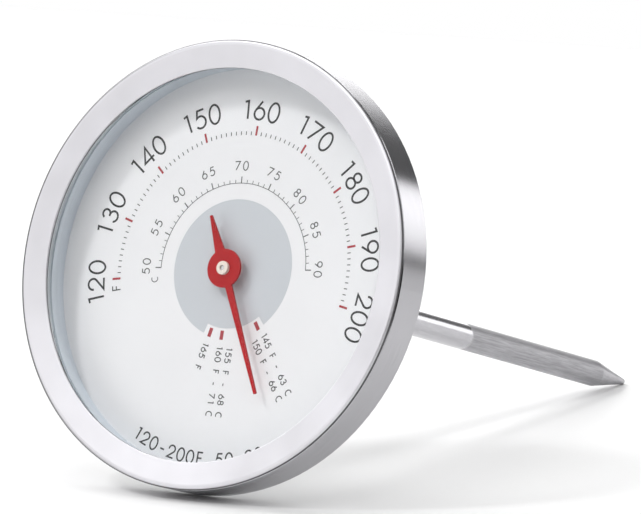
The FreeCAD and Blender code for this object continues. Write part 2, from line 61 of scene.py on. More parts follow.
def heights(node):
    """Lowest and highest point of a CAD node along the stem, in mm above the pointer's face."""
    to_instrument = INSTRUMENT.inverted()
    along = [(to_instrument @ vertex.co).z for vertex in frame["nodes"][node].data.vertices]
    return min(along), max(along)


PROBE_POINT = heights("probe_tip")[0]
DIAL_FACE = heights("dial_plate")[1]
BEZEL_FACE = heights("bezel_ring")[1]


def add_object(name, data):
    """Put a new object in the scene."""
    made = bpy.data.objects.new(name, data)
    bpy.context.scene.collection.objects.link(made)
    return made


# --- Flat shapes for the printing, in mm on the dial's face -------------------------------------

INK_THICKNESS = 0.02
PRINT_CENTRE = (0.2, 0.23)
ARC_STEP = math.radians(4)
MITRE_LIMIT = 0.4


def clockwise(angle):
    """Unit vector pointing outwards at an angle in degrees, clockwise from the dial's top."""
    turn = math.radians(angle)
    return Vector((math.sin(turn), math.cos(turn)))


def arc_points(centre, radii, start, end):
    """Points on an ellipse from start to end, in degrees counter-clockwise from +X."""
    first = math.radians(start)
    sweep = math.radians(end) - first
    steps = max(2, math.ceil(abs(sweep) / ARC_STEP))
    angles = [first + sweep * step / steps for step in range(steps + 1)]
    return [(centre[0] + radii[0] * math.cos(a), centre[1] + radii[1] * math.sin(a)) for a in angles]


def ribbon(path, width, closed=False):
    """A line of constant width along a path, with mitred corners: its points and its quads."""
    points = [Vector(point) for point in path]
    count = len(points)
    sides = []
    for index, point in enumerate(points):
        before = points[index - 1] if closed or index else None
        after = points[(index + 1) % count] if closed or index + 1 < count else None
        leaving = (after - point).normalized() if after else (point - before).normalized()
        arriving = (point - before).normalized() if before else leaving
        normal = Vector((-arriving.y - leaving.y, arriving.x + leaving.x)).normalized()
        mitre = max(MITRE_LIMIT, normal.dot(Vector((-leaving.y, leaving.x))))
        sides += [point + normal * (width / 2 / mitre), point - normal * (width / 2 / mitre)]
    pairs = [(index, (index + 1) % count) for index in range(count if closed else count - 1)]
    quads = [(2 * here, 2 * here + 1, 2 * there + 1, 2 * there) for here, there in pairs]
    return sides, quads


def bar(angle, inner, outer, width):
    """A radial bar, such as a tick."""
    out = clockwise(angle)
    return ribbon([out * inner, out * outer], width)


def sector(start, end, inner, outer):
    """A piece of a flat ring, between two angles clockwise from the top."""
    rims = [arc_points((0, 0), (radius, radius), 90 - start, 90 - end) for radius in (inner, outer)]
    sides = [Vector(point) for pair in zip(*rims) for point in pair]
    quads = [(2 * step, 2 * step + 1, 2 * step + 3, 2 * step + 2) for step in range(len(rims[0]) - 1)]
    return sides, quads


def ink(name, shapes, material):
    """One layer of print on the dial: every shape as a thin closed slab."""
    mesh = bmesh.new()
    for points, quads in shapes:
        shifted = [Vector(point) + Vector(PRINT_CENTRE) for point in points]
        corners = [mesh.verts.new((point.x, point.y, DIAL_FACE)) for point in shifted]
        faces = [mesh.faces.new([corners[index] for index in quad]) for quad in quads]
        grown = bmesh.ops.extrude_face_region(mesh, geom=faces)
        lifted = [item for item in grown["geom"] if isinstance(item, bmesh.types.BMVert)]
        bmesh.ops.translate(mesh, verts=lifted, vec=(0, 0, INK_THICKNESS))
    bmesh.ops.recalc_face_normals(mesh, faces=mesh.faces)
    mesh.transform(INSTRUMENT)
    data = bpy.data.meshes.new(name)
    mesh.to_mesh(data)
    mesh.free()
    data.materials.append(material)
    piece = add_object(name, data)
    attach(piece, "head_and_stem")


# --- Characters: strokes in units of the cap height, each centred on x = 0 ----------------------

OVAL = (0.333, 0.53)
BOWL = 0.318


def full(centre, radii):
    """A closed ellipse as a stroke."""
    return arc_points(centre, radii, 0, 360)[:-1], True


def open_stroke(*points):
    """A stroke with two ends."""
    return list(points), False


def two():
    radius = 0.3
    top = arc_points((0, 1 - radius), (radius, radius), 190, -46)
    return [open_stroke(*top, (-0.3, 0), (0.31, 0))]


def three():
    upper = arc_points((0, 0.775), (0.235, 0.235), 165, -90)
    lower = arc_points((0, 0.27), (0.29, 0.28), 90, -165)
    return [open_stroke(*upper), open_stroke((-0.07, 0.545), (0.02, 0.545)), open_stroke(*lower)]


def five():
    bowl = arc_points((-0.03, 0.33), (0.335, 0.335), 125, -143)
    return [open_stroke((0.29, 1), (-0.13, 1), *bowl)]


def six():
    bowl = full((0, BOWL), (BOWL, BOWL))
    return [bowl, open_stroke((0.1, 1.01), (-0.259, 0.503))]


def nine():
    strokes = []
    for points, closed in six():
        strokes.append(([(-x, 1 - y) for x, y in points], closed))
    return strokes


GLYPHS = {
    "0": [full((0, 0.5), OVAL)],
    "1": [open_stroke((-0.05, 0.94), (0.17, 0.985), (0.17, 0))],
    "2": two(),
    "3": three(),
    "4": [open_stroke((0.36, 0.27), (-0.36, 0.27), (0.17, 1.02), (0.17, 0))],
    "5": five(),
    "6": six(),
    "7": [open_stroke((-0.34, 1), (0.34, 1), (-0.2, 0))],
    "8": [full((0, 0.765), (0.25, 0.24)), full((0, 0.265), (0.295, 0.275))],
    "9": nine(),
    "-": [open_stroke((-0.2, 0.4), (0.2, 0.4))],
    "F": [open_stroke((0.24, 1), (-0.22, 1), (-0.22, 0)), open_stroke((-0.22, 0.53), (0.18, 0.53))],
    "C": [open_stroke(*arc_points((0.1, 0.5), (0.46, 0.52), 62, 298))],
    " ": [],
}


def glyph(letter, origin, right, up, height, stroke):
    """One character's ribbons, standing on origin between two unit vectors."""
    shapes = []
    for points, closed in GLYPHS[letter]:
        path = [origin + right * (x * height) + up * (y * height) for x, y in points]
        shapes.append(ribbon(path, stroke, closed))
    return shapes


def written_round(text, angle, radius, pitch, height, stroke, centre=(0, 0), inward=False):
    """Characters round the dial, pitch degrees apart, with their tops outwards or inwards."""
    facing = -1 if inward else 1
    shapes = []
    for index, letter in enumerate(text):
        place = angle + facing * pitch * (index - (len(text) - 1) / 2)
        out = clockwise(place)
        right = Vector((out.y, -out.x)) * facing
        shapes += glyph(letter, Vector(centre) + out * radius, right, out * facing, height, stroke)
    return shapes


def written_outwards(text, angle, start, beside, advance, height, stroke):
    """Characters that run out along a radius, with the baseline set to one side of it."""
    out = clockwise(angle)
    up = Vector((-out.y, out.x))
    shapes = []
    for index, letter in enumerate(text):
        origin = out * (start + advance * (index + 0.5)) + up * beside
        shapes += glyph(letter, origin, out, up, height, stroke)
    return shapes


# --- Material helpers ---------------------------------------------------------------------------

# Least length, in mm, of a direction that a material works out: it has to point somewhere.
NEARLY_ZERO = 0.001


class Nodes:
    """Short ways to add nodes to a tree."""

    def __init__(self, tree):
        self.tree = tree

    def node(self, kind, **settings):
        made = self.tree.nodes.new(kind)
        for key, value in settings.items():
            setattr(made, key, value)
        return made

    def join(self, source, target):
        """Link a socket to a socket, or set a socket's own value."""
        if isinstance(source, bpy.types.NodeSocket):
            self.tree.links.new(source, target)
        else:
            target.default_value = source

    def math(self, operation, first, second=0.0):
        made = self.node("ShaderNodeMath", operation=operation)
        self.join(first, made.inputs[0])
        self.join(second, made.inputs[1])
        return made.outputs[0]

    def vector(self, operation, first, second=(0, 0, 0)):
        made = self.node("ShaderNodeVectorMath", operation=operation)
        self.join(first, made.inputs[0])
        self.join(second, made.inputs[1])
        return made.outputs[0]

    def scaled(self, vector, factor):
        made = self.node("ShaderNodeVectorMath", operation="SCALE")
        self.join(vector, made.inputs[0])
        self.join(factor, made.inputs["Scale"])
        return made.outputs[0]

    def combine(self, x, y, z):
        made = self.node("ShaderNodeCombineXYZ")
        for value, socket in zip((x, y, z), made.inputs):
            self.join(value, socket)
        return made.outputs[0]

    def noise(self, vector, scale=1.0, detail=2.0, roughness=0.5, offset=0.0):
        made = self.node("ShaderNodeTexNoise", noise_dimensions="4D")
        self.join(vector, made.inputs["Vector"])
        self.join(offset, made.inputs["W"])
        made.inputs["Scale"].default_value = scale
        made.inputs["Detail"].default_value = detail
        made.inputs["Roughness"].default_value = roughness
        return made.outputs["Fac"]

    def between(self, factor, low, high, start=0.3, end=0.7):
        """Spread a factor, which mostly lies from start to end, over low to high."""
        made = self.node("ShaderNodeMapRange")
        self.join(factor, made.inputs["Value"])
        made.inputs["From Min"].default_value = start
        made.inputs["From Max"].default_value = end
        self.join(low, made.inputs["To Min"])
        self.join(high, made.inputs["To Max"])
        return made.outputs[0]

    def mix(self, factor, first, second):
        """Blend two colours, by the node's colour sockets: 6 and 7 in, 2 out."""
        made = self.node("ShaderNodeMix", data_type="RGBA")
        self.join(factor, made.inputs["Factor"])
        self.join(first, made.inputs[6])
        self.join(second, made.inputs[7])
        return made.outputs[2]

    def blend(self, factor, first, second):
        """Blend two directions, by the node's vector sockets: 4 and 5 in, 1 out."""
        made = self.node("ShaderNodeMix", data_type="VECTOR")
        self.join(factor, made.inputs["Factor"])
        self.join(first, made.inputs[4])
        self.join(second, made.inputs[5])
        return made.outputs[1]


class Recipe(Nodes):
    """A node material under construction."""

    def __init__(self, name):
        self.material = bpy.data.materials.new(name)
        self.material.use_nodes = True
        super().__init__(self.material.node_tree)
        self.shader = self.tree.nodes["Principled BSDF"]
        self.output = self.tree.nodes["Material Output"]

    def set(self, **values):
        """Set the main shader's sockets; underscores stand for spaces."""
        for key, value in values.items():
            self.join(value, self.shader.inputs[key.replace("_", " ")])

    def instrument(self):
        """Coordinates in the instrument's frame, in mm, as (vector, x, y, z)."""
        place = self.node("ShaderNodeTexCoord")
        mapping = self.node("ShaderNodeMapping", vector_type="TEXTURE")
        self.join(place.outputs["Object"], mapping.inputs["Vector"])
        mapping.inputs["Location"].default_value = PIVOT
        mapping.inputs["Rotation"].default_value = TURN.to_euler()
        mapping.inputs["Scale"].default_value = (MM, MM, MM)
        split = self.node("ShaderNodeSeparateXYZ")
        self.join(mapping.outputs[0], split.inputs[0])
        return mapping.outputs[0], *split.outputs

    def round_stem(self):
        """Direction away from the stem's axis, distance from it, and height along it in mm."""
        _, x, y, z = self.instrument()
        flat = self.combine(x, y, 0.0)
        length = self.node("ShaderNodeVectorMath", operation="LENGTH")
        self.join(flat, length.inputs[0])
        return self.vector("NORMALIZE", flat), length.outputs["Value"], z

    def bump(self, height, depth, facing=None):
        """Relief of the given depth in mm, on the surface's own direction unless told another."""
        made = self.node("ShaderNodeBump")
        self.join(height, made.inputs["Height"])
        made.inputs["Distance"].default_value = depth * MM
        if facing:
            self.join(facing, made.inputs["Normal"])
        self.join(made.outputs[0], self.shader.inputs["Normal"])

    def rounded_edge(self, ring_radius, ring_height):
        """Outward direction of a rounding whose centre runs round the stem's axis, sizes in mm."""
        sideways, radius, z = self.round_stem()
        outward = self.math("MAXIMUM", self.math("SUBTRACT", radius, ring_radius), 0.0)
        forward = self.math("MAXIMUM", self.math("SUBTRACT", z, ring_height), NEARLY_ZERO)
        facing = self.vector("ADD", self.scaled(sideways, outward), self.combine(0.0, 0.0, forward))
        turned = self.node("ShaderNodeMapping", vector_type="VECTOR")
        self.join(facing, turned.inputs["Vector"])
        turned.inputs["Rotation"].default_value = TURN.to_euler()
        placed = self.node("ShaderNodeVectorTransform", vector_type="NORMAL",
                           convert_from="OBJECT", convert_to="WORLD")
        self.join(turned.outputs[0], placed.inputs[0])
        return placed.outputs[0]

    def round_streaks(self, around, across, seed):
        """Fine grain that runs round the stem's axis: long one way, narrow the other."""
        sideways, radius, z = self.round_stem()
        shift = self.combine(seed, 0.0, self.math("MULTIPLY", z, across))
        lifted = self.vector("ADD", self.scaled(sideways, around), shift)
        return self.noise(lifted, detail=3, roughness=0.6, offset=self.math("MULTIPLY", radius, across))

    def long_streaks(self, around, along, seed):
        """Fine grain that runs along the stem."""
        sideways, _, z = self.round_stem()
        shift = self.combine(0.0, 0.0, self.math("MULTIPLY", z, along))
        lifted = self.vector("ADD", self.scaled(sideways, around), shift)
        return self.noise(lifted, detail=3, roughness=0.6, offset=seed)

    def cloud(self, size, seed):
        """Soft blotches of about the given size in mm."""
        vector, *_ = self.instrument()
        return self.noise(vector, scale=1 / size, detail=2, offset=seed)


# --- Colours, most of them as the darkest and the palest tone of a piece -------------------------


def grey(level, warm=0.0):
    """A near-neutral colour; warm above 0 is yellowish and below 0 is bluish."""
    return (level * (1 + warm), level, level * (1 - warm), 1)


def steel(level):
    """Stainless steel's cool grey."""
    return (level * 1.012, level, level * 1.045, 1)


SATIN_FACE = (steel(0.64), steel(0.69))
# Painted shade: dark grey laid on the bezel's rounded edge, seam and opening, where they lie in shade.
PAINTED_SHADE_GREY = steel(0.12)
BAND_STEEL = (steel(0.40), steel(0.52))
GROUND_STEEL = (steel(0.33), steel(0.52))
POLISHED_STEEL = (steel(0.42), steel(0.54))
TURNED_STEEL = grey(0.66)
COVER_STEEL = grey(0.64, -0.01)
BRASS = (0.70, 0.50, 0.22, 1)
RING_WALL = ((0.76, 0.815, 0.865, 1), (0.84, 0.895, 0.945, 1))
RUBBER = ((0.84, 0.89, 0.93, 1), (0.90, 0.95, 0.98, 1))
GLASS_TINT = (0.995, 0.996, 0.996, 1)
LACQUER = ((0.885, 0.885, 0.90, 1), (0.915, 0.915, 0.93, 1))
ENAMEL = ((0.42, 0.007, 0.010, 1), (0.49, 0.010, 0.014, 1))
BUSHING = ((0.84, 0.75, 0.66, 1), (0.93, 0.84, 0.75, 1))
NICKEL_SIDE = (0.62, 0.60, 0.55, 1)
COPPERY_SIDE = (0.60, 0.46, 0.33, 1)
ROLLED_STEEL = grey(0.4)
BLACK_INK = grey(0.014, -0.03)
SLATE_INK = grey(0.055, -0.03)
RED_INK = (0.40, 0.018, 0.032, 1)
DISC_INK = (0.61, 0.64, 0.675, 1)
FLOOR = (grey(0.88), grey(0.90))

# --- Materials ----------------------------------------------------------------------------------

# Radii on the bezel in mm: where its blasted face ends, the centre line of its edge's rounding, where
# the painted shade in the seam with the band begins, and the opening.
RIM_FLAT = 31.35
RIM_EDGE = 31.6
RIM_ROUNDING = 0.4
SEAM_EDGE = 31.0
OPENING_EDGE = 28.2
EDGE_BLUR = 0.05

# Depths behind the bezel's front in mm, from which its metal is painted dark as shade: on the rounded
# edge, where the painted shade fades in over RIM_FADE and RIM_TILT sets the line deeper on the dial's
# right, at the seam, and in the opening.
RIM_LINE = 0.02
RIM_FADE = 0.12
RIM_TILT = 0.004
SEAM_TOP = 0.45
OPENING_LINE = 0.7
DEPTH_BLUR = 0.04


def satin_steel():
    """Blasted face of the bezel, with a smooth outer rim, and painted shade on the rim's back, in the
    seam and in the opening.
    """
    recipe = Recipe("satin_steel")
    _, x, _, z = recipe.instrument()
    _, radius, _ = recipe.round_stem()
    grain = recipe.round_streaks(around=2.5, across=9, seed=1)
    blast = recipe.cloud(size=0.09, seed=2)
    handling = recipe.cloud(size=7, seed=3)

    def behind(depth, fade=DEPTH_BLUR, height=z):
        """1 where the metal lies deeper than this behind the bezel's front, in mm."""
        return recipe.between(height, 1, 0, start=BEZEL_FACE - depth - fade, end=BEZEL_FACE - depth)

    def beyond(edge):
        """1 where the metal lies outside this radius, in mm."""
        return recipe.between(radius, 0, 1, start=edge - EDGE_BLUR, end=edge)

    # Painted shade: the back of the rounded edge (more of it on the dial's left), the inside of the
    # seam and the opening's wall are darkened.
    tilted = recipe.math("ADD", z, recipe.math("MULTIPLY", x, RIM_TILT))
    opening = recipe.math("SUBTRACT", 1.0, beyond(OPENING_EDGE))
    painted_shade = recipe.math("MULTIPLY", beyond(RIM_EDGE), behind(RIM_LINE, RIM_FADE, tilted))
    painted_shade = recipe.math("MAXIMUM", painted_shade, recipe.math("MULTIPLY", beyond(SEAM_EDGE), behind(SEAM_TOP)))
    painted_shade = recipe.math("MAXIMUM", painted_shade, recipe.math("MULTIPLY", opening, behind(OPENING_LINE)))
    tone = recipe.math("ADD", recipe.between(grain, -0.02, 0.02), recipe.between(handling, 0, 1))
    unshaded = recipe.mix(tone, *SATIN_FACE)
    recipe.set(Base_Color=recipe.mix(painted_shade, unshaded, PAINTED_SHADE_GREY), Metallic=1.0,
               Roughness=recipe.between(handling, 0.42, 0.50))
    face = recipe.math("SUBTRACT", 1.0, beyond(RIM_FLAT))
    relief = recipe.math("MULTIPLY", recipe.math("ADD", grain, blast), face)
    meshed = recipe.node("ShaderNodeNewGeometry").outputs["Normal"]
    rounded = recipe.rounded_edge(RIM_EDGE, BEZEL_FACE - RIM_ROUNDING)
    recipe.bump(relief, depth=0.004, facing=recipe.blend(face, rounded, meshed))
    return recipe.material


def brushed_band():
    """Band brushed round its circumference."""
    recipe = Recipe("brushed_band")
    grain = recipe.round_streaks(around=5, across=7, seed=4)
    fine = recipe.round_streaks(around=14, across=22, seed=5)
    streaks = recipe.math("ADD", recipe.between(grain, 0, 0.5), recipe.between(fine, 0, 0.5))
    recipe.set(Base_Color=recipe.mix(streaks, *BAND_STEEL), Metallic=1.0, Anisotropic=0.95,
               Roughness=recipe.between(streaks, 0.20, 0.25, start=0, end=1),
               Tangent=recipe.combine(*STEM))
    recipe.bump(streaks, depth=0.0015)
    return recipe.material


# How dark the stains on turned metal are, and how far its rings spread its roughness.
STAIN = 0.84
RING_SPREAD = (0.85, 1.25)


def turned_metal(name, colour, roughness, across):
    """Bright turned metal with fine rings round the stem's axis and darker stains."""
    recipe = Recipe(name)
    rings = recipe.round_streaks(around=1.2, across=across, seed=6)
    stain = recipe.cloud(size=4, seed=7)
    darker = [channel * STAIN for channel in colour[:3]] + [1]
    smooth, coarse = [roughness * factor for factor in RING_SPREAD]
    recipe.set(Base_Color=recipe.mix(recipe.between(stain, 0, 1), darker, colour), Metallic=1.0,
               Roughness=recipe.between(rings, smooth, coarse))
    recipe.bump(rings, depth=0.006)
    return recipe.material


# Length of stem, from the point up, that is ground matt, and how gradually it ends, in mm.
GROUND_LENGTH = 47.8
GROUND_EDGE = 0.35
GROUND_WANDER = 0.2


def stem_steel():
    """Tube: polished below the case, ground matt over the length that senses heat."""
    recipe = Recipe("stem_steel")
    _, _, _, z = recipe.instrument()
    border = recipe.cloud(size=1.2, seed=8)
    height = recipe.math("SUBTRACT", z, PROBE_POINT + GROUND_LENGTH)
    ragged = recipe.math("ADD", height, recipe.between(border, -GROUND_WANDER, GROUND_WANDER))
    polished = recipe.between(ragged, 0, 1, start=-GROUND_EDGE, end=GROUND_EDGE)
    scratches = recipe.long_streaks(around=9, along=0.25, seed=9)
    faint = recipe.long_streaks(around=16, along=0.6, seed=10)
    ground = recipe.mix(recipe.between(scratches, 0, 1), *GROUND_STEEL)
    bright = recipe.mix(recipe.between(faint, 0, 1), *POLISHED_STEEL)
    recipe.set(Base_Color=recipe.mix(polished, ground, bright), Metallic=1.0,
               Roughness=recipe.between(polished, 0.56, 0.25, start=0, end=1))
    relief = recipe.math("MULTIPLY", scratches, recipe.between(polished, 1, 0.08, start=0, end=1))
    recipe.bump(relief, depth=0.006)
    return recipe.material


def ground_steel():
    """Ground matt point of the probe."""
    recipe = Recipe("ground_steel")
    scratches = recipe.long_streaks(around=7, along=0.5, seed=9)
    stain = recipe.cloud(size=1.6, seed=11)
    tone = recipe.math("ADD", recipe.between(scratches, 0, 0.6), recipe.between(stain, 0, 0.4))
    recipe.set(Base_Color=recipe.mix(tone, *GROUND_STEEL), Metallic=1.0,
               Roughness=recipe.between(stain, 0.4, 0.52))
    recipe.bump(scratches, depth=0.008)
    return recipe.material


def anodised_ring():
    """Satin wall between the glass and the dial."""
    recipe = Recipe("anodised_ring")
    rings = recipe.round_streaks(around=1.5, across=6, seed=12)
    recipe.set(Base_Color=recipe.mix(recipe.between(rings, 0, 1), *RING_WALL), Metallic=1.0,
               Roughness=recipe.between(rings, 0.28, 0.4))
    recipe.bump(rings, depth=0.005)
    return recipe.material


def silicone():
    """Pale matt rubber with a faint bloom."""
    recipe = Recipe("grey_silicone")
    bloom = recipe.cloud(size=0.7, seed=13)
    recipe.set(Base_Color=recipe.mix(bloom, *RUBBER), Roughness=recipe.between(bloom, 0.55, 0.75))
    recipe.bump(bloom, depth=0.01)
    return recipe.material


# Well below real glass's, because the photograph's pane hardly mirrors anything.
GLASS_IOR = 1.16


def glass():
    """Flat toughened pane: it lets light straight through and mirrors a little at each face."""
    recipe = Recipe("clear_glass")
    clear = recipe.node("ShaderNodeBsdfTransparent")
    recipe.join(GLASS_TINT, clear.inputs["Color"])
    mirror = recipe.node("ShaderNodeBsdfGlossy")
    smear = recipe.cloud(size=9, seed=14)
    recipe.join(recipe.between(smear, 0.0, 0.03), mirror.inputs["Roughness"])
    gloss = recipe.node("ShaderNodeFresnel")
    gloss.inputs["IOR"].default_value = GLASS_IOR
    layered = recipe.node("ShaderNodeMixShader")
    recipe.join(gloss.outputs[0], layered.inputs[0])
    recipe.join(clear.outputs[0], layered.inputs[1])
    recipe.join(mirror.outputs[0], layered.inputs[2])
    recipe.join(layered.outputs[0], recipe.output.inputs["Surface"])
    recipe.tree.nodes.remove(recipe.shader)
    return recipe.material


def white_lacquer():
    """Cool white enamelled dial with a trace of orange peel."""
    recipe = Recipe("white_lacquer")
    peel = recipe.cloud(size=0.35, seed=15)
    shade = recipe.cloud(size=11, seed=16)
    recipe.set(Base_Color=recipe.mix(recipe.between(shade, 0, 1), *LACQUER),
               Roughness=recipe.between(peel, 0.34, 0.42))
    recipe.bump(peel, depth=0.003)
    return recipe.material


def printed(name, colour, thinning=0.048):
    """Screen-printed ink, slightly uneven in its density."""
    recipe = Recipe(name)
    density = recipe.cloud(size=0.22, seed=17)
    thin = [channel + (1 - channel) * thinning for channel in colour[:3]] + [1]
    recipe.set(Base_Color=recipe.mix(recipe.between(density, 0, 1), colour, thin),
               Roughness=recipe.between(density, 0.4, 0.5))
    recipe.bump(density, depth=0.002)
    return recipe.material


def red_enamel():
    """Enamel on the stamped pointer."""
    recipe = Recipe("red_enamel")
    peel = recipe.cloud(size=0.3, seed=18)
    tone = recipe.cloud(size=2.5, seed=19)
    recipe.set(Base_Color=recipe.mix(recipe.between(tone, 0, 1), *ENAMEL), Specular_IOR_Level=0.25,
               Roughness=recipe.between(peel, 0.3, 0.4))
    recipe.bump(peel, depth=0.004)
    return recipe.material


def pale_bushing():
    """Pale moulded bush with faint turning marks."""
    recipe = Recipe("pale_bushing")
    rings = recipe.round_streaks(around=1, across=9, seed=20)
    recipe.set(Base_Color=recipe.mix(recipe.between(rings, 0, 1), *BUSHING),
               Roughness=recipe.between(rings, 0.35, 0.5))
    recipe.bump(rings, depth=0.006)
    return recipe.material


# Height of the strip from one turn of the coil to the next, in mm.
STRIP_HEIGHT = 1.6


def bimetal():
    """Rolled strip: a nickel side and a coppery side showing along its edges."""
    recipe = Recipe("bimetal_strip")
    _, _, _, z = recipe.instrument()
    rolled = recipe.long_streaks(around=4, along=3, seed=21)
    sides = recipe.math("FRACT", recipe.math("DIVIDE", z, STRIP_HEIGHT))
    strip = recipe.mix(recipe.between(sides, 0, 1, start=0.45, end=0.55), NICKEL_SIDE, COPPERY_SIDE)
    recipe.set(Base_Color=recipe.mix(recipe.between(rolled, 0, 0.4), strip, ROLLED_STEEL),
               Metallic=1.0, Roughness=recipe.between(rolled, 0.25, 0.4))
    recipe.bump(rolled, depth=0.004)
    return recipe.material


def dress_nodes(satin):
    """Give every CAD node its material."""
    turned = turned_metal("turned_steel", TURNED_STEEL, roughness=0.24, across=5)
    brass = turned_metal("brass_bush", BRASS, roughness=0.28, across=5)
    rubber = silicone()
    looks = {
        "bezel_ring": satin,
        "case_band": brushed_band(),
        "back_cover": turned_metal("spun_cover", COVER_STEEL, roughness=0.3, across=3),
        "lens": glass(),
        "lens_gasket": rubber,
        "case_seal": rubber,
        "boss_seal": rubber,
        "spacer_ring": anodised_ring(),
        "dial_plate": white_lacquer(),
        "stem_boss": turned,
        "boss_washer": turned,
        "boss_nut": turned,
        "coil_anchor": turned,
        "shaft": turned,
        "upper_bearing": brass,
        "lower_bearing": brass,
        "coil_collet": brass,
        "stem_tube": stem_steel(),
        "probe_tip": ground_steel(),
        "bimetal_coil": bimetal(),
        "pointer": red_enamel(),
        "pointer_bushing": pale_bushing(),
    }
    for name, material in looks.items():
        slots = frame["nodes"][name].data.materials
        slots.clear()
        slots.append(material)


# --- The bezel's rounded edge -------------------------------------------------------------------

# How far the skin stands outside the CAD edge and how deep it reaches, in mm, and its divisions.
RIM_SKIN = 0.002
RIM_BACK = 0.44
RIM_STEPS = 12
RIM_SEGMENTS = 360


def rim_section():
    """Outline of the edge's metal as (radius, height), from the front round to the inside."""
    rounding = RIM_ROUNDING + RIM_SKIN
    centre = BEZEL_FACE - RIM_ROUNDING
    angles = [math.pi / 2 * step / RIM_STEPS for step in range(RIM_STEPS + 1)]
    section = [(RIM_EDGE + rounding * math.sin(a), centre + rounding * math.cos(a)) for a in angles]
    section.append((RIM_EDGE + rounding, BEZEL_FACE - RIM_BACK))
    section.append((RIM_EDGE, BEZEL_FACE - RIM_BACK))
    return section


def rim_skin(material):
    """The bezel's rounded outer edge, divided finely so that its highlight runs evenly."""
    section = rim_section()
    count = len(section)
    points = []
    quads = []
    for turn in range(RIM_SEGMENTS):
        out = clockwise(360 * turn / RIM_SEGMENTS)
        points += [INSTRUMENT @ Vector((out.x * radius, out.y * radius, z)) for radius, z in section]
        here = turn * count
        there = (turn + 1) % RIM_SEGMENTS * count
        for index in range(count):
            beside = (index + 1) % count
            quads.append((here + index, here + beside, there + beside, there + index))
    data = bpy.data.meshes.new("rim_skin")
    data.from_pydata(points, [], quads)
    data.polygons.foreach_set("use_smooth", [True] * len(quads))
    data.materials.append(material)
    piece = add_object("rim_skin", data)
    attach(piece, "head_and_stem")


# --- The dial's printing ------------------------------------------------------------------------

# The two scales. The dial turns DEGREE_F degrees for one degree Fahrenheit, with TOP_F at its top.
DEGREE_F = 2.5
TOP_F = 160
FIRST_F, LAST_F = 120, 200
NUMERAL_STEP_F = 10
FIRST_C, LAST_C = 50, 90
NUMERAL_STEP_C = 5
ZERO_C_AT_F = 32
F_PER_C = 1.8

# Sizes and radii in mm, angles and pitches in degrees.
TICK_F = {"inner": 19.15, "outer": 19.68, "width": 0.12}
TEN_F = {"inner": 19.15, "outer": 20.51, "width": 0.31}
NUMERAL_F = {"radius": 21.8, "pitch": 6.04, "height": 2.63, "stroke": 0.30, "centre": (-0.14, -0.36)}
NUMERAL_F_SPREAD = 1.007
NUMERAL_F_LEAD = 0.2
LETTER_F = {"angle": -103.9, "radius": 19.15, "pitch": 0, "height": 1.34, "stroke": 0.16}
ARC_C = 12.26
ARC_C_HALF_WIDTH = 0.045
TICK_C = {"inner": ARC_C, "outer": 12.76, "width": 0.09}
FIVE_C = {"inner": ARC_C - ARC_C_HALF_WIDTH, "outer": 13.19, "width": 0.15}
NUMERAL_C = {"radius": 14.01, "pitch": 5.4, "height": 1.2, "stroke": 0.145, "centre": (-0.22, 0.12)}
LETTER_C = {"angle": -102.5, "radius": 12.75, "pitch": 0, "height": 0.98, "stroke": 0.12}

DISC_RADIUS = 9.95
DISC_CUT_RADIUS = 8.52
DISC_CUT = (137, 197.5)
DISC_HOLE = 1.8
MARK_TURN = {145: 143, 160: 179.4, 165: 191.6}
MARK = {"inner": 8.85, "outer": 10.16, "width": 0.56}
LABEL = {"start": 10.85, "advance": 0.86, "height": 0.92, "stroke": 0.15}
LABELS = [
    (145, "145 F - 63 C", 0.0),
    (145, "150 F - 66 C", -1.72),
    (160, "155 F - 68 C", 1.22),
    (160, "160 F - 71 C", -0.45),
    (165, "165 F", -0.5),
]
RANGE_TEXT = "120-200F 50-90C"
RANGE = {"angle": 180, "radius": 28.05, "pitch": 3.5, "height": 1.75, "stroke": 0.23}


def angle_f(temperature):
    """Place of a Fahrenheit temperature on the dial, in degrees clockwise from its top."""
    return (temperature - TOP_F) * DEGREE_F


def angle_c(temperature):
    """Place of a Celsius temperature on the dial."""
    return angle_f(ZERO_C_AT_F + temperature * F_PER_C)


def fahrenheit_scale(dark, red):
    """Outer scale: fine dark ticks, bold red tens, and a numeral at each ten."""
    temperatures = range(FIRST_F, LAST_F + 1)
    tens = [t for t in temperatures if t % NUMERAL_STEP_F == 0]
    units = [t for t in temperatures if t % NUMERAL_STEP_F]
    ink("fahrenheit_ticks", [bar(angle_f(t), **TICK_F) for t in units], dark)
    ink("fahrenheit_tens", [bar(angle_f(t), **TEN_F) for t in tens], red)
    numerals = []
    for temperature in tens:
        angle = angle_f(temperature) * NUMERAL_F_SPREAD + NUMERAL_F_LEAD
        numerals += written_round(str(temperature), angle, **NUMERAL_F)
    ink("fahrenheit_numerals", numerals, dark)
    ink("fahrenheit_letter", written_round("F", **LETTER_F), dark)


def celsius_scale(dark):
    """Inner scale: an arc with ticks on it, and a numeral at every fifth degree."""
    temperatures = range(FIRST_C, LAST_C + 1)
    fives = [t for t in temperatures if t % NUMERAL_STEP_C == 0]
    units = [t for t in temperatures if t % NUMERAL_STEP_C]
    edges = (ARC_C - ARC_C_HALF_WIDTH, ARC_C + ARC_C_HALF_WIDTH)
    lines = [sector(angle_c(FIRST_C), angle_c(LAST_C), *edges)]
    lines += [bar(angle_c(t), **TICK_C) for t in units]
    lines += [bar(angle_c(t), **FIVE_C) for t in fives]
    ink("celsius_ticks", lines, dark)
    numerals = []
    for temperature in fives:
        numerals += written_round(str(temperature), angle_c(temperature), **NUMERAL_C)
    ink("celsius_numerals", numerals, dark)
    ink("celsius_letter", written_round("C", **LETTER_C), dark)


def centre_disc(pale):
    """Grey disc round the shaft, cut back where the marks stand."""
    start, end = DISC_CUT
    wide = sector(end - 360, start, DISC_HOLE, DISC_RADIUS)
    narrow = sector(start, end, DISC_HOLE, DISC_CUT_RADIUS)
    ink("centre_disc", [wide, narrow], pale)


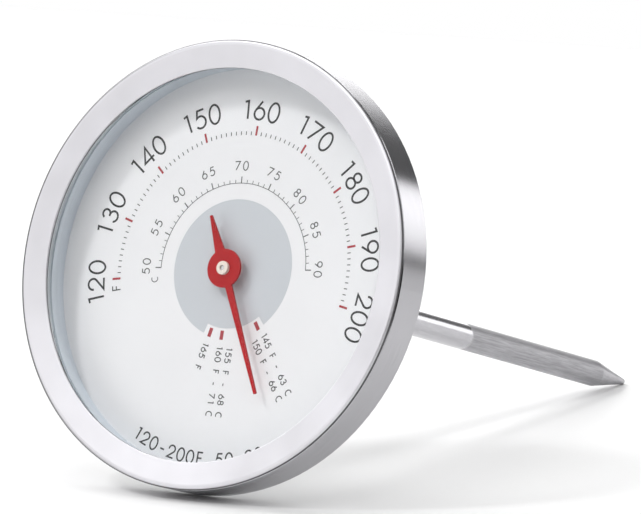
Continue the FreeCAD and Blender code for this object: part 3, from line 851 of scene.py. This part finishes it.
def marks(dark, red):
    """Red bars for three temperatures on the short arm's scale, each with its own numbers."""
    ink("centre_marks", [bar(turn, **MARK) for turn in MARK_TURN.values()], red)
    labels = []
    for temperature, text, beside in LABELS:
        labels += written_outwards(text, MARK_TURN[temperature], beside=beside, **LABEL)
    ink("mark_numbers", labels, dark)


def range_text(dark):
    """The scales' ranges along the bottom of the dial."""
    ink("range_numbers", written_round(RANGE_TEXT, inward=True, **RANGE), dark)


def print_dial():
    """All of the dial's printing."""
    black = printed("black_ink", BLACK_INK)
    slate = printed("grey_ink", SLATE_INK)
    red = printed("red_ink", RED_INK)
    pale = printed("pale_grey_ink", DISC_INK, thinning=0.008)
    fahrenheit_scale(black, red)
    celsius_scale(slate)
    centre_disc(pale)
    marks(slate, red)
    range_text(black)


# --- Camera: angles, and sizes in mm ------------------------------------------------------------

# It is placed from the centre of the bezel, AIM_DEPTH behind its front, and set aside from there
# to the right and up.
CAMERA_AZIMUTH = math.radians(34.04)
CAMERA_ELEVATION = math.radians(8.20)
CAMERA_ROLL = math.radians(0.37)
CAMERA_DISTANCE = 960.0
CAMERA_ASIDE = (15.62, 0.98)
CAMERA_LENS = 384.3
SENSOR_WIDTH = 36.0
AIM_DEPTH = 0.3
CLIP_START = 50.0


def make_camera():
    """Long lens, looking towards the bezel's rim from the dial's right and slightly above."""
    turn, lift = CAMERA_AZIMUTH, CAMERA_ELEVATION
    back = Vector((math.sin(turn) * math.cos(lift), -math.cos(turn) * math.cos(lift), math.sin(lift)))
    level = Vector((math.cos(turn), math.sin(turn), 0))
    upright = back.cross(level)
    right = level * math.cos(CAMERA_ROLL) - upright * math.sin(CAMERA_ROLL)
    up = back.cross(right)
    rim = INSTRUMENT @ Vector((0, 0, BEZEL_FACE - AIM_DEPTH))
    across, above = CAMERA_ASIDE
    place = rim + (right * across + up * above + back * CAMERA_DISTANCE) * MM
    data = bpy.data.cameras.new("camera")
    data.lens = CAMERA_LENS
    data.sensor_width = SENSOR_WIDTH
    data.clip_start = CLIP_START * MM
    camera = add_object("camera", data)
    camera.matrix_world = Matrix.Translation(place) @ Matrix((right, up, back)).transposed().to_4x4()
    bpy.context.scene.camera = camera


# --- Studio: brightness by direction, each direction a unit vector (across, away, height) -------


def sines(low, high):
    """The heights of two elevations, given in degrees."""
    return math.sin(math.radians(low)), math.sin(math.radians(high))


# Brightness of each part of the studio.
LEFT_BACK_WALL = 3.2
RIGHT_BACK_WALL = 2.4
BACK_GAP_LEFT = 0.25
BACK_GAP_RIGHT = 0.10
TABLE_EDGE = 0.12
FRONT_LEFT = 1.14
OVERHEAD = 0.02
SIDE_GAP = 0.02

# Where one part passes into the next. RIGHT_WALL_SLANT stands across the right wall's near edge,
# which leans.
BACK_GAP_SPREAD = (-0.2, 0.3)
TABLE_EDGE_TOP = (-0.02, 0.012)
LEFT_WALL_EDGE = (-0.28, -0.19)
LEFT_WALL_FAR_EDGE = (-0.60, -0.48)
LEFT_WALL_TOP = sines(13, 15)
RIGHT_WALL_SLANT = (0.675, 0, -0.738)
RIGHT_WALL_EDGE = (-0.01, 0.02)
RIGHT_WALL_FAR_EDGE = (0.62, 0.70)
CEILING_EDGE = sines(42, 58)
FRONT_TO_BACK = (-0.45, -0.25)
FRONT_SPLIT = (-0.2, 0.0)
FRONT_TOP = sines(24, 44)


def make_world():
    """Studio round the object: pale at the front left, with two lit walls and a gap behind."""
    world = bpy.data.worlds.new("studio")
    bpy.context.scene.world = world
    world.use_nodes = True
    studio = Nodes(world.node_tree)
    background = studio.tree.nodes["Background"]
    background.inputs["Color"].default_value = (1, 1, 1, 1)
    direction = studio.node("ShaderNodeTexCoord").outputs["Generated"]
    split = studio.node("ShaderNodeSeparateXYZ")
    studio.join(direction, split.inputs[0])
    across, away, height = split.outputs
    slant = studio.node("ShaderNodeVectorMath", operation="DOT_PRODUCT")
    studio.join(direction, slant.inputs[0])
    studio.join(RIGHT_WALL_SLANT, slant.inputs[1])

    gap = studio.between(across, BACK_GAP_LEFT, BACK_GAP_RIGHT, *BACK_GAP_SPREAD)
    left = studio.between(across, LEFT_BACK_WALL, gap, *LEFT_WALL_EDGE)
    left = studio.between(across, SIDE_GAP, left, *LEFT_WALL_FAR_EDGE)
    left = studio.between(height, left, gap, *LEFT_WALL_TOP)
    right = studio.between(slant.outputs["Value"], gap, RIGHT_BACK_WALL, *RIGHT_WALL_EDGE)
    right = studio.between(across, right, SIDE_GAP, *RIGHT_WALL_FAR_EDGE)
    lit = studio.math("MAXIMUM", left, right)
    walls = studio.between(height, TABLE_EDGE, lit, *TABLE_EDGE_TOP)
    behind = studio.between(height, walls, OVERHEAD, *CEILING_EDGE)
    front = studio.between(across, FRONT_LEFT, SIDE_GAP, *FRONT_SPLIT)
    front = studio.between(height, front, OVERHEAD, *FRONT_TOP)
    around = studio.between(away, front, behind, *FRONT_TO_BACK)
    seen = studio.node("ShaderNodeLightPath").outputs["Is Camera Ray"]
    studio.join(studio.math("MAXIMUM", around, seen), background.inputs["Strength"])


# --- Floor and lamps, in metres -----------------------------------------------------------------

TABLE_HALF = 0.45


def make_floor():
    """Plain pale floor, with a faint mottle."""
    data = bpy.data.meshes.new("floor")
    signs = ((-1, -1), (1, -1), (1, 1), (-1, 1))
    data.from_pydata([(x * TABLE_HALF, y * TABLE_HALF, 0) for x, y in signs], [], [(0, 1, 2, 3)])
    floor = add_object("floor", data)
    recipe = Recipe("floor")
    mottle = recipe.cloud(size=30, seed=22)
    recipe.set(Base_Color=recipe.mix(mottle, *FLOOR), Roughness=0.5)
    data.materials.append(recipe.material)


# Each lamp's name, place, side and power in watts. All of them face LAMP_AIM.
LAMP_AIM = Vector((0, -0.03, 0.03))
LAMPS = [
    ("key", (-0.50, -0.80, 1.10), 0.22, 5.5),
    ("front_lamp", (0.16, -0.88, 0.92), 0.7, 3.7),
    ("left_lamp", (-0.92, 0.12, 0.70), 0.9, 9.5),
    ("right_lamp", (0.8, -0.45, 0.9), 1.0, 3.8),
    ("back_lamp", (0.1, 0.75, 1.1), 0.6, 3.8),
    ("top_lamp", (-0.1, 0.0, 1.25), 0.5, 2.3),
]


def make_lamps():
    """Square softboxes."""
    for name, place, side, power in LAMPS:
        data = bpy.data.lights.new(name, "AREA")
        data.shape = "SQUARE"
        data.size = side
        data.energy = power
        lamp = add_object(name, data)
        lamp.location = place
        lamp.rotation_euler = (LAMP_AIM - Vector(place)).to_track_quat("-Z", "Y").to_euler()


satin = satin_steel()
dress_nodes(satin)
rim_skin(satin)
print_dial()
make_world()
make_floor()
make_lamps()
make_camera()
bpy.context.scene.view_settings.view_transform = "Standard"
